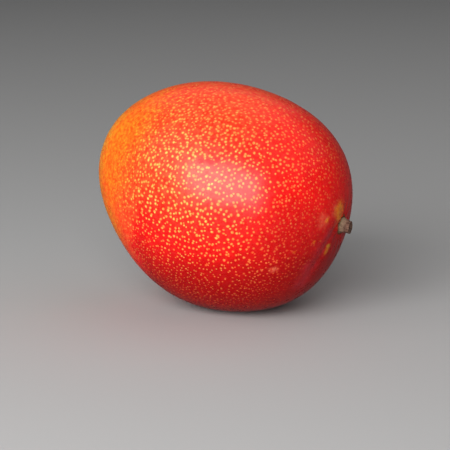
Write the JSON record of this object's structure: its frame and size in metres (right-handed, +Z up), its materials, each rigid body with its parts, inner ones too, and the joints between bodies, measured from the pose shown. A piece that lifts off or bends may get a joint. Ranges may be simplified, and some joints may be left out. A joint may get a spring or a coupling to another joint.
{
  "type": "mango",
  "caption": "Whole ripe red mango, egg shaped and broad at the stem end, with a short cut stem stub, lying on its belly on a small flat spot.",
  "frame": {"origin": "middle of the small flat spot on the belly that the fruit rests on", "axes": "+Z up, +X along the fruit towards its lower, broad stem end, and the two cheeks face -Y and +Y"},
  "size_m": [0.1199, 0.0924, 0.1023],
  "materials": {
    "mango_skin": "smooth waxy peel with a satin shine, crimson with an orange yellow tip and fine pale yellow dots",
    "stem_bark": "dry woody stub, beige collar and a rough brown fibrous cut end"
  },
  "bodies": {
    "root": {"fruit": "mango_skin", "stem": "stem_bark"}
  },
  "joints": []
}
